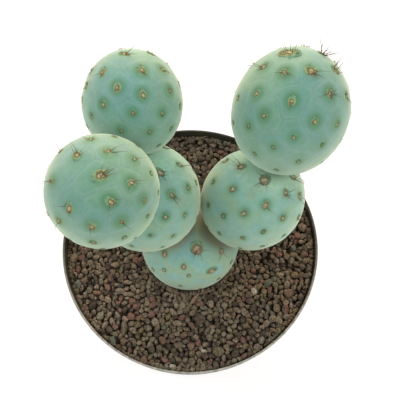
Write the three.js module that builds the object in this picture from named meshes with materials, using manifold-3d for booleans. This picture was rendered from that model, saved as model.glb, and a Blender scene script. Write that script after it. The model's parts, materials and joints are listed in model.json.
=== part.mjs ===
// A potted tephrocactus geometricus: six round stem segments, one grown on another, that stand
// in a round plastic nursery pot filled with lava gravel.
// Millimetres, +Z up, origin at the middle of the pot's underside. The front faces -Y.
// A bearing is measured from +Y towards +X, a rise from the horizontal upwards, both in degrees.

import * as THREE from 'three';
import { ConvexHull } from 'three/addons/math/ConvexHull.js';
import { mergeVertices } from 'three/addons/utils/BufferGeometryUtils.js';
import Module from 'manifold-3d';

const wasm = await Module();
wasm.setup();

// Pot
const POT_HEIGHT = 92;
const RIM_RADIUS = 60;
const LIP_WIDTH = 1;
const COLLAR_DEPTH = 9;
const COLLAR_FLARE = 1.3;
const COLLAR_STEP = 0.45;
const WALL = 1.2;
const BASE_RADIUS = 43;
const FOOT_WIDTH = 4;
const FLOOR_THICKNESS = 1.6;
const CENTRE_PAD_RADIUS = 28;
const CHANNEL_RISE = 3;
const CHANNEL_SLOPE = 1.5;
const DRAIN_COUNT = 8;
const DRAIN_RADIUS = 3.2;
const NOTCH_WIDTH = 6;
const NOTCH_HEIGHT = 2;
const EDGE_ROUND = 0.35;
const ROUND_SIDES = 44;
const DRAIN_SIDES = 12;

// Gravel
const GRAVEL_LEVEL = 88;
const GRAIN_PITCH = 4.2;
const GRAIN_JITTER = 0.28;
const GRAIN_RISE = [0.5, 1.7];
const GRAIN_DIP = [0.5, 1.3];
const GRAIN_SEED = 5;

// Clearance between pieces that touch
const GAP = 0.3;

// Stem segments
const AREOLES_PER_SEGMENT = 58;
const GOLDEN_ANGLE = 137.508;
const PAD_RADIUS = 1.6;
const PAD_HEIGHT = 0.9;
const PAD_SIDES = 5;
const DIMPLE = 0.1;
const GROOVE_DEPTH = 0.5;
const NECK_SINK = 1.8;
const SEGMENTS = [
  {
    name: 'stem_base', parent: null, centre: [0, 0.6, 97.5], bearing: 0, rise: 90,
    halfWidth: 22.5, halfLength: 21.5, tip: [15, 71], firstAreole: 177, seed: 11,
  },
  {
    name: 'stem_left', parent: 'stem_base', bearing: -66, rise: 63, sink: NECK_SINK,
    halfWidth: 23.5, halfLength: 24.4, tip: [-22, 68], firstAreole: 4, seed: 12,
  },
  {
    name: 'stem_right', parent: 'stem_base', bearing: 74, rise: 49, sink: NECK_SINK,
    halfWidth: 22, halfLength: 24, tip: [58, 65], firstAreole: 196, seed: 13,
  },
  {
    name: 'stem_left_back', parent: 'stem_left', bearing: -7, rise: 47, sink: 2.6,
    halfWidth: 20.8, halfLength: 22.3, tip: [-16, 51], firstAreole: 271, seed: 14,
  },
  {
    name: 'stem_left_front', parent: 'stem_left', bearing: -129.4, rise: 64.7, sink: NECK_SINK,
    halfWidth: 22.4, halfLength: 23.6, tip: [-130, 72], firstAreole: 29, seed: 15,
  },
  {
    name: 'stem_right_back', parent: 'stem_right', bearing: 33, rise: 57, sink: NECK_SINK,
    halfWidth: 23.8, halfLength: 27.5, tip: [25, 64], firstAreole: 74, seed: 16,
  },
];

// Root below the base segment
const ROOT_LENGTH = 34;
const ROOT_TOP_RADIUS = 5;
const ROOT_END_RADIUS = 1.8;
const ROOT_SIDES = 8;
const ROOT_START = 0.8;

// Spines
const SPINE_RADIUS = 0.42;
const SPINE_LENGTH = [4, 8.5];
const SPINE_LEAN = [36, 68];
const SPINE_ROOT = 1.2;
const SPINE_SPREAD = 0.75;
const CROWN_AREOLES = 9;
const CROWN_SPINES = 3;
const SPINED_AREOLES = 24;
const SPINE_CLEARANCE = 1;
const SPINE_TRIES = 12;
const SPINE_CHECKS = [0.35, 0.7, 1];
const SPINE_SIDES = 3;
const AREOLE_CLEARANCE = 2.4;

const UP = new THREE.Vector3(0, 0, 1);

// A seeded random draw between 0 and 1
function seededRandom(seed) {
  let state = seed;
  return () => {
    state = (state + 0x6d2b79f5) | 0;
    let t = Math.imul(state ^ (state >>> 15), 1 | state);
    t = (t + Math.imul(t ^ (t >>> 7), 61 | t)) ^ t;
    return ((t ^ (t >>> 14)) >>> 0) / 4294967296;
  };
}

const between = (random, [low, high]) => low + (high - low) * random();

const radians = (degrees) => (degrees * Math.PI) / 180;

function direction(bearing, rise) {
  const level = Math.cos(radians(rise));
  return new THREE.Vector3(
    Math.sin(radians(bearing)) * level,
    Math.cos(radians(bearing)) * level,
    Math.sin(radians(rise)),
  );
}

// Closed meshes to solids and back
function solidFromTriangles(points, triangles) {
  const vertProperties = new Float32Array(points.flatMap((point) => point.toArray()));
  const triVerts = new Uint32Array(triangles.flat());
  return new wasm.Manifold(new wasm.Mesh({ numProp: 3, vertProperties, triVerts }));
}

function solidFromGeometry(geometry) {
  geometry.deleteAttribute('normal');
  geometry.deleteAttribute('uv');
  const merged = mergeVertices(geometry, 1e-4);
  const position = merged.getAttribute('position');
  const points = [];
  for (let i = 0; i < position.count; i += 1) {
    points.push(new THREE.Vector3().fromBufferAttribute(position, i));
  }
  const triangles = [];
  for (let i = 0; i < merged.index.count; i += 3) {
    const [a, b, c] = merged.index.array.slice(i, i + 3);
    if (a !== b && b !== c && c !== a) triangles.push([a, b, c]);
  }
  return solidFromTriangles(points, triangles);
}

function geometryFromSolid(solid) {
  const mesh = solid.getMesh();
  const geometry = new THREE.BufferGeometry();
  geometry.setAttribute('position', new THREE.BufferAttribute(mesh.vertProperties, 3));
  geometry.setIndex(new THREE.BufferAttribute(mesh.triVerts, 1));
  geometry.computeVertexNormals();
  return geometry;
}

// A turned solid: a closed profile of [radius, height] points about the Z axis
function turned(profile) {
  const points = profile.map(([radius, height]) => new THREE.Vector2(radius, height));
  const geometry = new THREE.LatheGeometry(points, ROUND_SIDES);
  geometry.rotateX(Math.PI / 2);
  return solidFromGeometry(geometry);
}

// Pot: a thin wall under a thicker collar, a flat pad in the middle of the underside, a raised
// channel with the drain holes round it, and a notched foot ring at the edge
const COLLAR_FOOT = POT_HEIGHT - COLLAR_DEPTH;
const CHANNEL_OUTER = BASE_RADIUS - FOOT_WIDTH;
const CHANNEL_TOP = CHANNEL_RISE + FLOOR_THICKNESS;

function wallRadiusAt(height) {
  const topRadius = RIM_RADIUS - COLLAR_FLARE - COLLAR_STEP;
  return BASE_RADIUS + ((topRadius - BASE_RADIUS) * height) / COLLAR_FOOT;
}

function innerRadiusAt(height) {
  const lipInner = RIM_RADIUS - LIP_WIDTH;
  const channelInner = wallRadiusAt(CHANNEL_TOP) - WALL;
  const share = (height - CHANNEL_TOP) / (POT_HEIGHT - CHANNEL_TOP);
  return channelInner + (lipInner - channelInner) * share;
}

function makePot() {
  let pot = turned([
    [0, 0],
    [CENTRE_PAD_RADIUS, 0],
    [CENTRE_PAD_RADIUS + CHANNEL_SLOPE, CHANNEL_RISE],
    [CHANNEL_OUTER - CHANNEL_SLOPE / 2, CHANNEL_RISE],
    [CHANNEL_OUTER, 0],
    [BASE_RADIUS - EDGE_ROUND, 0],
    [BASE_RADIUS, EDGE_ROUND],
    [wallRadiusAt(COLLAR_FOOT), COLLAR_FOOT],
    [RIM_RADIUS - COLLAR_FLARE, COLLAR_FOOT + EDGE_ROUND],
    [RIM_RADIUS, POT_HEIGHT - EDGE_ROUND],
    [RIM_RADIUS - EDGE_ROUND, POT_HEIGHT],
    [RIM_RADIUS - LIP_WIDTH + EDGE_ROUND, POT_HEIGHT],
    [RIM_RADIUS - LIP_WIDTH, POT_HEIGHT - EDGE_ROUND],
    [innerRadiusAt(CHANNEL_TOP), CHANNEL_TOP],
    [CENTRE_PAD_RADIUS + CHANNEL_SLOPE - FLOOR_THICKNESS, CHANNEL_TOP],
    [CENTRE_PAD_RADIUS - FLOOR_THICKNESS, FLOOR_THICKNESS],
    [0, FLOOR_THICKNESS],
  ]);
  const drainCircle = (CENTRE_PAD_RADIUS + CHANNEL_SLOPE + CHANNEL_OUTER) / 2;
  for (let i = 0; i < DRAIN_COUNT; i += 1) {
    const angle = (2 * Math.PI * (i + 0.5)) / DRAIN_COUNT;
    const drain = new THREE.CylinderGeometry(DRAIN_RADIUS, DRAIN_RADIUS, 3 * CHANNEL_TOP, DRAIN_SIDES);
    drain.rotateX(Math.PI / 2);
    drain.translate(drainCircle * Math.cos(angle), drainCircle * Math.sin(angle), CHANNEL_TOP);
    pot = pot.subtract(solidFromGeometry(drain));
    const notch = new THREE.BoxGeometry(2 * FOOT_WIDTH, NOTCH_WIDTH, 2 * NOTCH_HEIGHT);
    notch.translate(BASE_RADIUS - FOOT_WIDTH / 3, 0, 0);
    notch.rotateZ(angle);
    pot = pot.subtract(solidFromGeometry(notch));
  }
  return pot;
}

// Stem segments: each is a spheroid whose axis is the way it grows. A segment starts on its
// parent's surface, sunk in by the depth of the neck.
function radiusAlong(segment, way) {
  const along = way.dot(segment.axis);
  return 1 / Math.sqrt(along ** 2 / segment.halfLength ** 2 + (1 - along ** 2) / segment.halfWidth ** 2);
}

for (const segment of SEGMENTS) {
  segment.axis = direction(segment.bearing, segment.rise);
  if (segment.parent) {
    const parent = SEGMENTS.find((other) => other.name === segment.parent);
    const reach = radiusAlong(parent, segment.axis) + segment.halfLength - segment.sink;
    segment.origin = parent.origin.clone().addScaledVector(segment.axis, reach);
  } else {
    segment.origin = new THREE.Vector3(...segment.centre);
  }
}

// The point of a segment's surface that lies along a unit direction, raised by a height
function surfacePoint(segment, way, height) {
  const stretch = (segment.halfLength - segment.halfWidth) * way.dot(segment.axis);
  return segment.origin.clone()
    .addScaledVector(way, segment.halfWidth + height)
    .addScaledVector(segment.axis, stretch);
}

// How far a point lies outside a segment's spheroid
function clearance(segment, point) {
  const way = point.clone().sub(segment.origin);
  const distance = way.length();
  return distance - radiusAlong(segment, way.normalize());
}

// Areoles follow one spiral from the segment's tip, with an even share of the surface each
function areoleDirections(segment) {
  const pole = direction(...segment.tip);
  const across = new THREE.Vector3().crossVectors(pole, UP).normalize();
  const beside = new THREE.Vector3().crossVectors(pole, across);
  const ways = [];
  for (let i = 0; i < AREOLES_PER_SEGMENT; i += 1) {
    const height = 1 - (2 * (i + 0.5)) / AREOLES_PER_SEGMENT;
    const level = Math.sqrt(1 - height ** 2);
    const angle = radians(segment.firstAreole - GOLDEN_ANGLE * i);
    const way = pole.clone().multiplyScalar(height)
      .addScaledVector(across, level * Math.cos(angle))
      .addScaledVector(beside, level * Math.sin(angle));
    ways.push(way);
  }
  return ways;
}

function hullTriangles(points) {
  const hull = new ConvexHull().setFromPoints(points);
  const indexOf = new Map(points.map((point, i) => [point, i]));
  return hull.faces.map((face) => {
    const corners = [];
    let edge = face.edge;
    do {
      corners.push(indexOf.get(edge.head().point));
      edge = edge.next;
    } while (edge !== face.edge);
    return corners;
  });
}

// An areole is bare where another segment or the gravel comes close to it
function isBare(segment, point) {
  if (point.z < GRAVEL_LEVEL + GRAIN_RISE[1] + PAD_RADIUS) return true;
  return SEGMENTS.some((other) => other !== segment && clearance(other, point) < AREOLE_CLEARANCE);
}

// A segment's skin: a tubercle round each areole, shallow grooves where the tubercles meet, and
// a felted pad on each areole that is in the open
function makeSkin(segment, extra) {
  const areoles = areoleDirections(segment);
  const ways = [];
  const heights = [];
  const addPoint = (way, height) => {
    ways.push(way.normalize());
    heights.push(height + extra);
  };
  for (const way of areoles) {
    const bare = isBare(segment, surfacePoint(segment, way, 0));
    addPoint(way.clone(), bare ? 0 : PAD_HEIGHT);
    const across = new THREE.Vector3().crossVectors(way, UP).normalize();
    const beside = new THREE.Vector3().crossVectors(way, across);
    for (let side = 0; side < PAD_SIDES; side += 1) {
      const angle = (2 * Math.PI * side) / PAD_SIDES;
      const rim = way.clone()
        .addScaledVector(across, (PAD_RADIUS / segment.halfWidth) * Math.cos(angle))
        .addScaledVector(beside, (PAD_RADIUS / segment.halfWidth) * Math.sin(angle));
      addPoint(rim, -DIMPLE);
    }
  }
  for (const corners of hullTriangles(areoles)) {
    const [a, b, c] = corners.map((corner) => areoles[corner]);
    addPoint(a.clone().add(b).add(c), -GROOVE_DEPTH);
    corners.forEach((corner, i) => {
      const next = corners[(i + 1) % 3];
      if (corner < next) addPoint(areoles[corner].clone().add(areoles[next]), -GROOVE_DEPTH);
    });
  }
  const points = ways.map((way, i) => surfacePoint(segment, way, heights[i]));
  return solidFromTriangles(points, hullTriangles(ways));
}

function makeRoot(extra) {
  const root = new THREE.CylinderGeometry(
    ROOT_TOP_RADIUS + extra,
    ROOT_END_RADIUS + extra,
    ROOT_LENGTH + extra,
    ROOT_SIDES,
  );
  root.rotateX(Math.PI / 2);
  const base = SEGMENTS[0];
  const top = base.origin.z - ROOT_START * base.halfLength;
  root.translate(base.origin.x, base.origin.y, top - (ROOT_LENGTH + extra) / 2);
  return solidFromGeometry(root);
}

// A spine stays clear of the other segments, the gravel and the pot
function isSpineClear(segment, root, tip) {
  for (const share of SPINE_CHECKS) {
    const point = root.clone().lerp(tip, share);
    if (point.z < GRAVEL_LEVEL + GRAIN_RISE[1] + SPINE_CLEARANCE) return false;
    const near = SEGMENTS.some((other) => other !== segment && clearance(other, point) < SPINE_CLEARANCE);
    if (near) return false;
  }
  return true;
}

function makeSpine(root, tip) {
  const way = tip.clone().sub(root).normalize();
  const length = root.distanceTo(tip) + SPINE_ROOT;
  const spine = new THREE.ConeGeometry(SPINE_RADIUS, length, SPINE_SIDES);
  spine.translate(0, length / 2 - SPINE_ROOT, 0);
  spine.applyQuaternion(new THREE.Quaternion().setFromUnitVectors(new THREE.Vector3(0, 1, 0), way));
  spine.translate(root.x, root.y, root.z);
  return solidFromGeometry(spine);
}

// Spines: a few at each areole of the crown, one at each of the next, none further down
function addSpines(segment, solid) {
  const random = seededRandom(segment.seed);
  let spined = solid;
  areoleDirections(segment).slice(0, SPINED_AREOLES).forEach((way, i) => {
    const middle = surfacePoint(segment, way, PAD_HEIGHT / 2);
    if (isBare(segment, middle)) return;
    const across = new THREE.Vector3().crossVectors(way, UP).normalize();
    const beside = new THREE.Vector3().crossVectors(way, across);
    const count = i < CROWN_AREOLES ? CROWN_SPINES : 1;
    for (let n = 0; n < count; n += 1) {
      for (let attempt = 0; attempt < SPINE_TRIES; attempt += 1) {
        const turn = radians((360 * (n + random())) / count);
        const lean = radians(between(random, SPINE_LEAN));
        const length = between(random, SPINE_LENGTH);
        const outward = across.clone().multiplyScalar(Math.cos(turn))
          .addScaledVector(beside, Math.sin(turn));
        const root = middle.clone().addScaledVector(outward, SPINE_SPREAD);
        const tip = root.clone()
          .addScaledVector(way, length * Math.cos(lean))
          .addScaledVector(outward, length * Math.sin(lean));
        if (isSpineClear(segment, root, tip)) {
          spined = spined.add(makeSpine(root, tip));
          break;
        }
      }
    }
  });
  return spined;
}

function makeSegment(segment) {
  let solid = makeSkin(segment, 0);
  if (segment.parent) {
    const parent = SEGMENTS.find((other) => other.name === segment.parent);
    solid = solid.subtract(makeSkin(parent, GAP));
  } else {
    solid = solid.add(makeRoot(0));
  }
  return addSpines(segment, solid);
}

// Gravel: one fill from the pot's floor to the surface, whose top is a relief of grains. Each
// grain is a low peak in a jittered hexagonal lattice, and the dips lie where three grains meet.
function makeGrainCutter() {
  const random = seededRandom(GRAIN_SEED);
  const rowStep = (GRAIN_PITCH * Math.sqrt(3)) / 2;
  const half = Math.ceil((RIM_RADIUS + 2 * GRAIN_PITCH) / rowStep);
  const span = 2 * half + 1;
  const points = [];
  for (let row = 0; row < span; row += 1) {
    for (let column = 0; column < span; column += 1) {
      const shift = row % 2 === 0 ? 0 : 0.5;
      const x = (column - half + shift + GRAIN_JITTER * (2 * random() - 1)) * GRAIN_PITCH;
      const y = (row - half + GRAIN_JITTER * (2 * random() - 1)) * rowStep;
      points.push(new THREE.Vector3(x, y, GRAVEL_LEVEL + between(random, GRAIN_RISE)));
    }
  }
  const grain = (column, row) => row * span + column;
  const dips = new Map();
  const addDip = (a, b, c) => {
    const dip = points[a].clone().add(points[b]).add(points[c]).divideScalar(3);
    dip.z = GRAVEL_LEVEL - between(random, GRAIN_DIP);
    points.push(dip);
    const index = points.length - 1;
    for (const [from, to] of [[a, b], [b, c], [c, a]]) dips.set(`${from},${to}`, index);
  };
  for (let row = 0; row + 1 < span; row += 1) {
    for (let column = 0; column + 1 < span; column += 1) {
      const here = grain(column, row);
      const right = grain(column + 1, row);
      const above = grain(column, row + 1);
      const aboveRight = grain(column + 1, row + 1);
      if (row % 2 === 0) {
        addDip(here, right, above);
        addDip(right, aboveRight, above);
      } else {
        addDip(here, right, aboveRight);
        addDip(here, aboveRight, above);
      }
    }
  }
  const triangles = [];
  for (const [key, left] of dips) {
    const [from, to] = key.split(',').map(Number);
    const right = dips.get(`${to},${from}`);
    if (right !== undefined) triangles.push([to, left, right]);
  }
  return closeUpwards(points, triangles, POT_HEIGHT + GRAIN_PITCH);
}

// A closed solid between a relief, seen from above, and a level face over it
function closeUpwards(points, triangles, topLevel) {
  const count = points.length;
  const raised = points.map((point) => new THREE.Vector3(point.x, point.y, topLevel));
  const edges = new Set(triangles.flatMap(([a, b, c]) => [`${a},${b}`, `${b},${c}`, `${c},${a}`]));
  const closed = [];
  for (const [a, b, c] of triangles) {
    closed.push([a, c, b]);
    closed.push([a + count, b + count, c + count]);
  }
  for (const key of edges) {
    const [from, to] = key.split(',').map(Number);
    if (!edges.has(`${to},${from}`)) {
      closed.push([from, to, to + count]);
      closed.push([from, to + count, from + count]);
    }
  }
  return solidFromTriangles([...points, ...raised], closed);
}

function makeGravel() {
  const floorCorner = CENTRE_PAD_RADIUS - FLOOR_THICKNESS - GAP;
  const channelCorner = CENTRE_PAD_RADIUS + CHANNEL_SLOPE - FLOOR_THICKNESS - GAP;
  const fill = turned([
    [0, FLOOR_THICKNESS + GAP],
    [floorCorner, FLOOR_THICKNESS + GAP],
    [channelCorner, CHANNEL_TOP + GAP],
    [innerRadiusAt(CHANNEL_TOP) - GAP, CHANNEL_TOP + GAP],
    [innerRadiusAt(POT_HEIGHT) - GAP, POT_HEIGHT],
    [0, POT_HEIGHT],
  ]);
  return fill
    .subtract(makeGrainCutter())
    .subtract(makeSkin(SEGMENTS[0], GAP))
    .subtract(makeRoot(GAP));
}

const plant = new THREE.Group();

function addPiece(name, solid, look) {
  const mesh = new THREE.Mesh(geometryFromSolid(solid), new THREE.MeshStandardMaterial(look));
  mesh.name = name;
  plant.add(mesh);
}

addPiece('pot', makePot(), { color: 0x3a3b34, roughness: 0.4, metalness: 0 });
addPiece('gravel', makeGravel(), { color: 0x5f5346, roughness: 0.95, metalness: 0 });
for (const segment of SEGMENTS) {
  addPiece(segment.name, makeSegment(segment), { color: 0x86ab93, roughness: 0.55, metalness: 0 });
}

export default plant;
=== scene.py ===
import json
import math
import random

import bmesh
import bpy
import numpy as np
from mathutils import Matrix, Vector

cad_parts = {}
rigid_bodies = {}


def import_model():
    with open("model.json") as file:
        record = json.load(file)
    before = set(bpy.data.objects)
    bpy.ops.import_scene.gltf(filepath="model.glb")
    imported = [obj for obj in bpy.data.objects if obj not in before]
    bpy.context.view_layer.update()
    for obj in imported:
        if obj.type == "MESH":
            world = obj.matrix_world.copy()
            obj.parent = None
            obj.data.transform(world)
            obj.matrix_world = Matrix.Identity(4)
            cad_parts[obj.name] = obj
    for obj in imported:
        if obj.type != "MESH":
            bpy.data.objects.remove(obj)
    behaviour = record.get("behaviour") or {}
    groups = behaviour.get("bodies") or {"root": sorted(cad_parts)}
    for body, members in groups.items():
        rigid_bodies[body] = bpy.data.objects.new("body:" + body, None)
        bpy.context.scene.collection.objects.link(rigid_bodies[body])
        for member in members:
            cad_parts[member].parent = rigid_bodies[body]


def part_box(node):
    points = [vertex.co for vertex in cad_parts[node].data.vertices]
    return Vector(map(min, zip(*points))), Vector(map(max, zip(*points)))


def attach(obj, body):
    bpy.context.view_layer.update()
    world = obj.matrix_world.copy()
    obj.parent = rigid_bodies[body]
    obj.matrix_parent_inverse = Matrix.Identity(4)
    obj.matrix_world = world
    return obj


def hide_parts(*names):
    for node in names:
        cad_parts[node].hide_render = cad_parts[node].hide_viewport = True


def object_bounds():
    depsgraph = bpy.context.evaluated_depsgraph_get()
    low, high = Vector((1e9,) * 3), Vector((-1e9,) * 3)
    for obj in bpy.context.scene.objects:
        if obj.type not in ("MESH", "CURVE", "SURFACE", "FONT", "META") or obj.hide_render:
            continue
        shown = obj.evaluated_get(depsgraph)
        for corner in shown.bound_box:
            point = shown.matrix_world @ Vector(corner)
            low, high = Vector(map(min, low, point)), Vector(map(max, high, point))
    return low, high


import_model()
cad_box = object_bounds()

# Pot
# A thin-walled round nursery pot, injection-moulded in dark polypropylene. A low collar runs
# round the rim; the underside has a flat pad, a raised channel with drain holes and a foot ring
# with notches that let the water out.

MM = 0.001
pot_low, pot_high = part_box("pot")
RIM_RADIUS = (pot_high.x - pot_low.x) / 2 / MM
POT_HEIGHT = pot_high.z / MM
LIP_WIDTH = 1
COLLAR_HEIGHT = 9
COLLAR_FOOT = POT_HEIGHT - COLLAR_HEIGHT
COLLAR_FLARE = 1.3
COLLAR_STEP = 0.45
WALL = 1.2
FLOOR = 1.6
BASE_RADIUS = 43
FOOT_RING = 4
CHANNEL_INNER = 28
CHANNEL_OUTER = BASE_RADIUS - FOOT_RING
CHANNEL_RISE = 3
CHANNEL_SLOPE = 1.5
CHANNEL_TOP = CHANNEL_RISE + FLOOR
DRAIN_COUNT = 8
DRAIN_RADIUS = 3.2
NOTCH_SIZE = (8, 6, 4)
POT_STEPS = 144
EDGE_ROUND = 0.35
SHARP_CORNER = math.radians(30)
# A node's main output, where that isn't the first one. The sockets of a colour Mix node are
# numbered: 0 is its factor, and 6 and 7 are its colours. Those of a Map Range node are listed: its
# value, the start and the end of the range it is in, and what these two become.
MAIN_OUTPUTS = {"ShaderNodeTexCoord": "Object", "ShaderNodeAttribute": "Fac", "ShaderNodeMix": 2}


def linear(hex_colour):
    """An sRGB hex colour as linear red, green, blue and alpha."""
    channels = [int(hex_colour[i:i + 2], 16) / 255 for i in (1, 3, 5)]
    steps = [c / 12.92 if c <= 0.04045 else ((c + 0.055) / 1.055) ** 2.4 for c in channels]
    return (*steps, 1.0)


def set_inputs(tree, node, inputs):
    """Gives a node's sockets their values, or links them to a socket or a node's main output. The
    inputs go by the sockets' names or numbers, or are listed in the sockets' order."""
    for name, source in inputs.items() if isinstance(inputs, dict) else enumerate(inputs):
        if isinstance(source, bpy.types.Node):
            source = source.outputs[MAIN_OUTPUTS.get(source.bl_idname, 0)]
        if isinstance(source, bpy.types.NodeSocket):
            tree.links.new(source, node.inputs[name])
        else:
            node.inputs[name].default_value = source


def add_node(tree, kind, inputs=None, stops=None, **settings):
    """Adds a shader node with its settings, its inputs and, on a ramp, its colour stops."""
    node = tree.nodes.new("ShaderNode" + kind)
    for name, value in settings.items():
        setattr(node, name, value)
    set_inputs(tree, node, inputs or {})
    if stops:
        elements = node.color_ramp.elements
        while len(elements) < len(stops):
            elements.new(1.0)
        for element, (position, hex_colour) in zip(elements, stops):
            element.position = position
            element.color = linear(hex_colour)
    return node


def new_material(name, inputs):
    """A material with one principled shader, its tree and the shader."""
    material = bpy.data.materials.new(name)
    material.use_nodes = True
    tree = material.node_tree
    shader = tree.nodes["Principled BSDF"]
    set_inputs(tree, shader, inputs)
    return material, tree, shader


def moulded_polypropylene():
    """Dark plastic off a satin mould: a soft broad gloss and faint flow marks. The lip is painted
    paler in patches, most of all at the front: a painted reflection of the bright room on it."""
    material, tree, shader = new_material("moulded_polypropylene", {"IOR": 1.49, "Metallic": 0.0})
    place = add_node(tree, "TexCoord")
    split = add_node(tree, "SeparateXYZ", {"Vector": place})
    flow = add_node(tree, "TexNoise", {"Vector": place, "Scale": 1 / (9 * MM), "Detail": 5.0})
    plastic = add_node(tree, "ValToRGB", {"Fac": flow}, stops=[(0.3, "#27281f"), (0.7, "#35362c")])
    near_lip = add_node(
        tree, "MapRange", [split.outputs["Z"], (POT_HEIGHT - 0.9) * MM, (POT_HEIGHT - 0.2) * MM],
    )
    # Painted reflection: the lip's colour is paler in patches, and more so towards the front
    front = add_node(tree, "MapRange", [split.outputs["Y"], -55 * MM, 25 * MM, 1.0, 0.0])
    specks = add_node(tree, "TexNoise", {"Vector": place, "Scale": 1 / (1.6 * MM), "Detail": 6.0})
    patchy = add_node(tree, "MapRange", [specks, 0.32, 0.62, 0.45])
    lip_reflection_place = add_node(tree, "Math", [near_lip, front], operation="MULTIPLY")
    lip_reflection = add_node(tree, "Math", [lip_reflection_place, patchy], operation="MULTIPLY")
    colour = add_node(tree, "Mix", {0: lip_reflection, 6: plastic, 7: linear("#a9aa9f")}, data_type="RGBA")
    gloss = add_node(tree, "MapRange", [specks, 0, 1, 0.36, 0.52])
    grain = add_node(tree, "TexNoise", {"Vector": place, "Scale": 1 / (0.35 * MM), "Detail": 2.0})
    bump = add_node(tree, "Bump", {"Height": grain, "Strength": 0.12, "Distance": 0.05 * MM})
    set_inputs(tree, shader, {"Base Color": colour, "Roughness": gloss, "Normal": bump})
    return material


def spun(profile, steps):
    """A closed form turned about the Z axis from a chain of (radius, height) corners in mm."""
    bm = bmesh.new()
    corners = [bm.verts.new((radius * MM, 0, height * MM)) for radius, height in profile]
    for start, end in zip(corners, corners[1:]):
        bm.edges.new((start, end))
    bmesh.ops.spin(
        bm, geom=bm.verts[:] + bm.edges[:], cent=(0, 0, 0), axis=(0, 0, 1),
        angle=2 * math.pi, steps=steps, use_merge=True,
    )
    bmesh.ops.remove_doubles(bm, verts=bm.verts, dist=1e-6)
    bmesh.ops.recalc_face_normals(bm, faces=bm.faces)
    return bm


def mesh_from(bm, name):
    """The bmesh as a mesh of that name; the bmesh is freed."""
    mesh = bpy.data.meshes.new(name)
    bm.to_mesh(mesh)
    bm.free()
    return mesh


def cut_away(mesh, cutter_bm):
    """The mesh without the space of the cutter."""
    body = bpy.data.objects.new("body", mesh)
    cutter = bpy.data.objects.new("cutter", mesh_from(cutter_bm, "cutter"))
    for part in (body, cutter):
        bpy.context.scene.collection.objects.link(part)
    boolean = body.modifiers.new("cut", "BOOLEAN")
    boolean.operation = "DIFFERENCE"
    boolean.solver = "EXACT"
    boolean.object = cutter
    evaluated = body.evaluated_get(bpy.context.evaluated_depsgraph_get())
    result = bpy.data.meshes.new_from_object(evaluated)
    bpy.data.objects.remove(body)
    bpy.data.objects.remove(cutter)
    return result


def add_piece(name, mesh, material, replaced=None, sharp_angle=180):
    """A finished piece at the origin, shaded smooth up to an angle, that rides on the one body."""
    mesh.name = name
    mesh.shade_smooth()
    mesh.set_sharp_from_angle(angle=math.radians(sharp_angle))
    mesh.materials.clear()
    mesh.materials.append(material)
    piece = bpy.data.objects.new(name, mesh)
    bpy.context.scene.collection.objects.link(piece)
    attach(piece, "root")
    if replaced:
        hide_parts(replaced)
    return piece


def wall_radius(height):
    """The outer radius of the pot's wall at a height, below the collar."""
    top_radius = RIM_RADIUS - COLLAR_FLARE - COLLAR_STEP
    return BASE_RADIUS + (top_radius - BASE_RADIUS) * height / COLLAR_FOOT


def inner_radius(height):
    """The radius of the pot's inner wall at a height above the channel."""
    low = wall_radius(CHANNEL_TOP) - WALL
    share = (height - CHANNEL_TOP) / (POT_HEIGHT - CHANNEL_TOP)
    return low + (RIM_RADIUS - LIP_WIDTH - low) * share


pot_bm = spun([
    (0, 0),
    (CHANNEL_INNER, 0),
    (CHANNEL_INNER + CHANNEL_SLOPE, CHANNEL_RISE),
    (CHANNEL_OUTER - CHANNEL_SLOPE / 2, CHANNEL_RISE),
    (CHANNEL_OUTER, 0),
    (BASE_RADIUS, 0),
    (wall_radius(COLLAR_FOOT), COLLAR_FOOT),
    (RIM_RADIUS - COLLAR_FLARE, COLLAR_FOOT + EDGE_ROUND),
    (RIM_RADIUS, POT_HEIGHT),
    (RIM_RADIUS - LIP_WIDTH, POT_HEIGHT),
    (inner_radius(CHANNEL_TOP), CHANNEL_TOP),
    (CHANNEL_INNER + CHANNEL_SLOPE - FLOOR, CHANNEL_TOP),
    (CHANNEL_INNER - FLOOR, FLOOR),
    (0, FLOOR),
], POT_STEPS)
# All sharp corners but those of the collar's small step
corner_edges = [
    edge for edge in pot_bm.edges
    if edge.calc_face_angle(0) > SHARP_CORNER and abs(edge.verts[0].co.z / MM - COLLAR_FOOT) > 1
]
bmesh.ops.bevel(
    pot_bm, geom=corner_edges, offset=EDGE_ROUND * MM, segments=3, profile=0.5,
    affect="EDGES", material=-1, clamp_overlap=True,
)

drain_bm = bmesh.new()
drain_circle = (CHANNEL_INNER + CHANNEL_SLOPE + CHANNEL_OUTER) / 2
for i in range(DRAIN_COUNT):
    turn = Matrix.Rotation(2 * math.pi * (i + 0.5) / DRAIN_COUNT, 4, "Z")
    bmesh.ops.create_cone(
        drain_bm, cap_ends=True, segments=32, radius1=DRAIN_RADIUS * MM, radius2=DRAIN_RADIUS * MM,
        depth=3 * CHANNEL_TOP * MM,
        matrix=turn @ Matrix.Translation((drain_circle * MM, 0, CHANNEL_TOP * MM)),
    )
    bmesh.ops.create_cube(
        drain_bm, size=MM,
        matrix=turn @ Matrix.Translation((BASE_RADIUS * MM, 0, 0)) @ Matrix.Diagonal((*NOTCH_SIZE, 1)),
    )
pot_mesh = cut_away(mesh_from(pot_bm, "pot_body"), drain_bm)
add_piece("nursery_pot", pot_mesh, moulded_polypropylene(), "pot", sharp_angle=35)

# Gravel
# Washed lava and pumice grains of 2 to 6 mm, poured in to 4 mm below the rim. A solid fill
# stands for the depth of it, and two layers of loose grains lie on that and hide its top. The
# fill and the lower layer take only the darkest tints, as painted shade of the depth between grains.

GRAVEL_LEVEL = 88
GRAVEL_SLOPE = 0.014
GAP = 0.3
BED_LEVEL = GRAVEL_LEVEL - 3.4
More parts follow.
